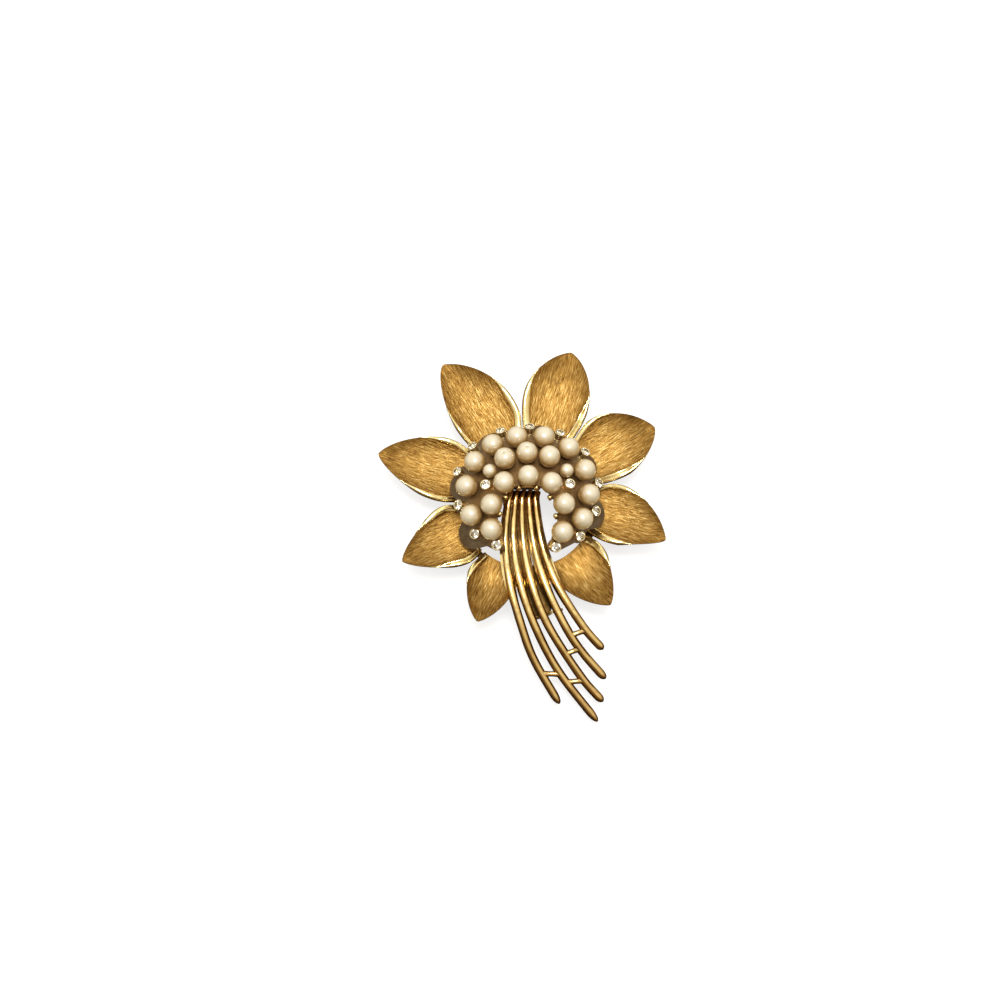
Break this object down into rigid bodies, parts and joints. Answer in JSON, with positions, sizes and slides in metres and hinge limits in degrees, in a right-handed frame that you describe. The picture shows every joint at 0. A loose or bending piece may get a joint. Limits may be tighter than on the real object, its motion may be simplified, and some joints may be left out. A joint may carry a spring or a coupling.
{
  "type": "flower brooch",
  "caption": "Flower brooch with cupped brushed petals, a domed crown of pearls and diamonds, a fanned stem spray, and a hinged pin held by a roll-over safety catch",
  "frame": {"origin": "centre of the bounding box in plan, at the lowest point of the pin fittings, on which the brooch lies face up", "axes": "+Z out of the brooch's face; +Y towards the flower's top, away from the stem; +X to the wearer's left, which is the viewer's right"},
  "size_m": [0.0449, 0.058, 0.0148],
  "materials": {
    "petal_gold": "yellow gold, brushed lengthwise, with polished rims",
    "frame_gold": "yellow gold, satin",
    "stem_gold": "yellow gold, polished",
    "gallery_gold": "yellow gold, polished",
    "crown_metal": "white metal, darkened, satin",
    "pearl_nacre": "nacre, cream with a satin lustre",
    "diamond_glass": "clear, faceted",
    "pin_steel": "hard white metal, drawn",
    "fitting_gold": "yellow gold, satin"
  },
  "bodies": {
    "brooch": {"catch_base": "fitting_gold", "crown_plate": "crown_metal", "diamond_01": "diamond_glass", "diamond_02": "diamond_glass", "diamond_03": "diamond_glass", "diamond_04": "diamond_glass", "diamond_05": "diamond_glass", "diamond_06": "diamond_glass", "diamond_07": "diamond_glass", "diamond_08": "diamond_glass", "diamond_09": "diamond_glass", "diamond_10": "diamond_glass", "diamond_11": "diamond_glass", "diamond_12": "diamond_glass", "diamond_13": "diamond_glass", "diamond_14": "diamond_glass", "diamond_15": "diamond_glass", "gallery": "gallery_gold", "hinge_base": "fitting_gold", "hinge_rivet": "fitting_gold", "pearl_01": "pearl_nacre", "pearl_02": "pearl_nacre", "pearl_03": "pearl_nacre", "pearl_04": "pearl_nacre", "pearl_05": "pearl_nacre", "pearl_06": "pearl_nacre", "pearl_07": "pearl_nacre", "pearl_08": "pearl_nacre", "pearl_09": "pearl_nacre", "pearl_10": "pearl_nacre", "pearl_11": "pearl_nacre", "pearl_12": "pearl_nacre", "pearl_13": "pearl_nacre", "pearl_14": "pearl_nacre", "pearl_15": "pearl_nacre", "pearl_16": "pearl_nacre", "pearl_17": "pearl_nacre", "pearl_18": "pearl_nacre", "pearl_19": "pearl_nacre", "pearl_20": "pearl_nacre", "pearl_21": "pearl_nacre", "pearl_22": "pearl_nacre", "petal_left": "petal_gold", "petal_left_lower": "petal_gold", "petal_lower_left": "petal_gold", "petal_lower_right": "petal_gold", "petal_right": "petal_gold", "petal_right_upper": "petal_gold", "petal_ring": "frame_gold", "petal_top": "petal_gold", "petal_top_left": "petal_gold", "stem_collar": "stem_gold", "stem_strand_1": "stem_gold", "stem_strand_2": "stem_gold", "stem_strand_3": "stem_gold", "stem_strand_4": "stem_gold", "stem_strand_5": "stem_gold"},
    "pin": {"pin_stem": "pin_steel"},
    "rotor": {"catch_rotor": "fitting_gold"}
  },
  "joints": [
    {"name": "pin_hinge", "type": "hinge", "parent": "brooch", "child": "pin", "pos_m": [-0.00545, 0.01445, 0.0015], "axis": [0.9511, 0.309, 0], "range_deg": [0, 110]},
    {"name": "catch_roll", "type": "hinge", "parent": "brooch", "child": "rotor", "pos_m": [0.00283, -0.01104, 0.0015], "axis": [-0.309, 0.9511, 0], "range_deg": [0, 140]}
  ]
}
